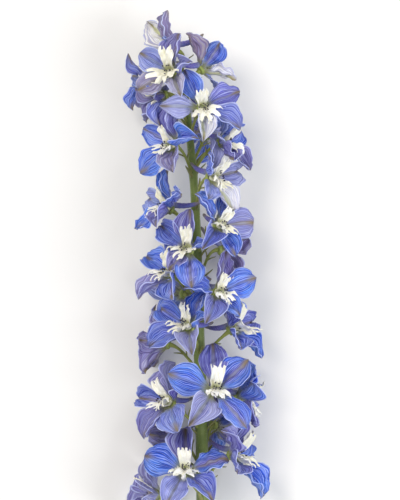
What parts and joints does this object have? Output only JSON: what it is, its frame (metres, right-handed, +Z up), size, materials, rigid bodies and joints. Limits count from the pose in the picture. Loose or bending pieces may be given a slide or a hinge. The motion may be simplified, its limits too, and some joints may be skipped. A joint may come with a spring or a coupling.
{
  "type": "delphinium flower spike",
  "caption": "Cut delphinium spike lying on its side: blue spurred blooms with white centres, crowded on short stalks round a bare-footed green stem.",
  "frame": {"origin": "on the surface that the spike lies on, under the middle of its bounding box", "axes": "+Y along the spike from the cut end to the tip, +Z up from the surface, +X to the right as seen from above with the tip away from the viewer"},
  "size_m": [0.0719, 0.3155, 0.0595],
  "materials": {
    "stem": "fresh green stem, finely hairy, satin",
    "sepal": "blue to lilac sepal, finely veined, soft satin",
    "bee": "creamy white inner petals, bushy, matt"
  },
  "bodies": {
    "root": {"stem": "stem", "sepals_01": "sepal", "bee_01": "bee", "sepals_02": "sepal", "bee_02": "bee", "sepals_03": "sepal", "bee_03": "bee", "sepals_04": "sepal", "bee_04": "bee", "sepals_05": "sepal", "bee_05": "bee", "sepals_06": "sepal", "bee_06": "bee", "sepals_07": "sepal", "bee_07": "bee", "sepals_08": "sepal", "bee_08": "bee", "sepals_09": "sepal", "bee_09": "bee", "sepals_10": "sepal", "bee_10": "bee", "sepals_11": "sepal", "bee_11": "bee", "sepals_12": "sepal", "bee_12": "bee", "sepals_13": "sepal", "bee_13": "bee", "sepals_14": "sepal", "bee_14": "bee", "sepals_15": "sepal", "bee_15": "bee", "sepals_16": "sepal", "bee_16": "bee", "sepals_17": "sepal", "bee_17": "bee", "sepals_18": "sepal", "bee_18": "bee", "sepals_19": "sepal", "bee_19": "bee", "sepals_20": "sepal", "bee_20": "bee", "sepals_21": "sepal", "bee_21": "bee", "sepals_22": "sepal", "bee_22": "bee", "sepals_23": "sepal", "bee_23": "bee", "sepals_24": "sepal", "bee_24": "bee", "sepals_25": "sepal", "bee_25": "bee", "sepals_26": "sepal", "bee_26": "bee", "sepals_27": "sepal", "bee_27": "bee", "sepals_28": "sepal", "bee_28": "bee"}
  },
  "joints": []
}
